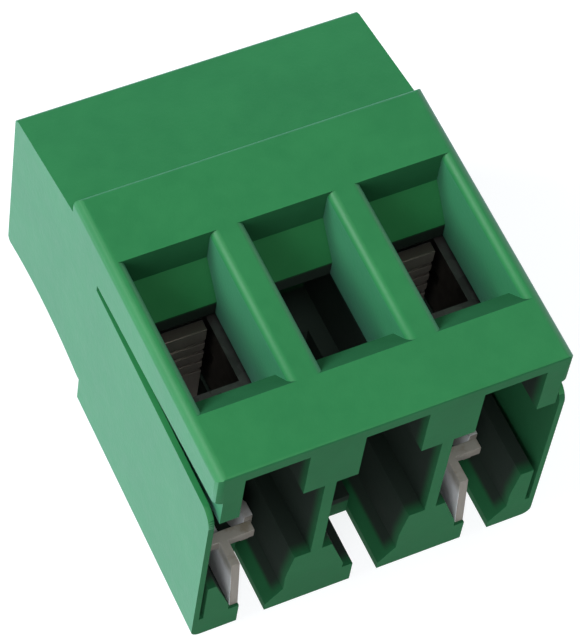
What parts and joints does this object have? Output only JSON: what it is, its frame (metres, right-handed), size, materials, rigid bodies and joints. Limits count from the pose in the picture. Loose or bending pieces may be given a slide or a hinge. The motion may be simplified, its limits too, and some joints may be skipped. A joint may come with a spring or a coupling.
{
  "type": "pcb screw terminal",
  "caption": "Pluggable screw terminal in green plastic with funnel-shaped wire entries on one face, slotted screws at one end and pin cavities at the other.",
  "frame": {"origin": "middle of the rectangle round the part, at the height of its flat back", "axes": "+X along the row of poles, +Y from the mating face to the screw end, +Z from the back to the wire entry face"},
  "size_m": [0.0154, 0.0194, 0.0125],
  "materials": {
    "housing_green": "moulded, satin",
    "tinned_strip": "tin plated, dull",
    "zinc_cage": "zinc plated, satin",
    "screw_steel": "zinc plated, bright"
  },
  "bodies": {
    "housing": {"housing": "housing_green", "contact_left": "tinned_strip", "contact_right": "tinned_strip"},
    "screw_left": {"screw_left": "screw_steel"},
    "screw_right": {"screw_right": "screw_steel"},
    "cage_left": {"cage_left": "zinc_cage"},
    "cage_right": {"cage_right": "zinc_cage"}
  },
  "joints": [
    {"name": "screw_left_turn", "type": "hinge", "parent": "housing", "child": "screw_left", "pos_m": [-0.00508, 0.00665, 0.00635], "axis": [0, -1, 0], "range_deg": [0, 1800]},
    {"name": "cage_left_slide", "type": "slide", "parent": "housing", "child": "cage_left", "axis": [0, 1, 0], "range_m": [0, 0.0025]},
    {"name": "screw_right_turn", "type": "hinge", "parent": "housing", "child": "screw_right", "pos_m": [0.00508, 0.00665, 0.00635], "axis": [0, -1, 0], "range_deg": [0, 1800]},
    {"name": "cage_right_slide", "type": "slide", "parent": "housing", "child": "cage_right", "axis": [0, 1, 0], "range_m": [0, 0.0025]}
  ],
  "couplings": [
    {"joint": "screw_left_turn", "follows": "cage_left_slide", "rad_per_m": 12566},
    {"joint": "screw_right_turn", "follows": "cage_right_slide", "rad_per_m": 12566}
  ]
}
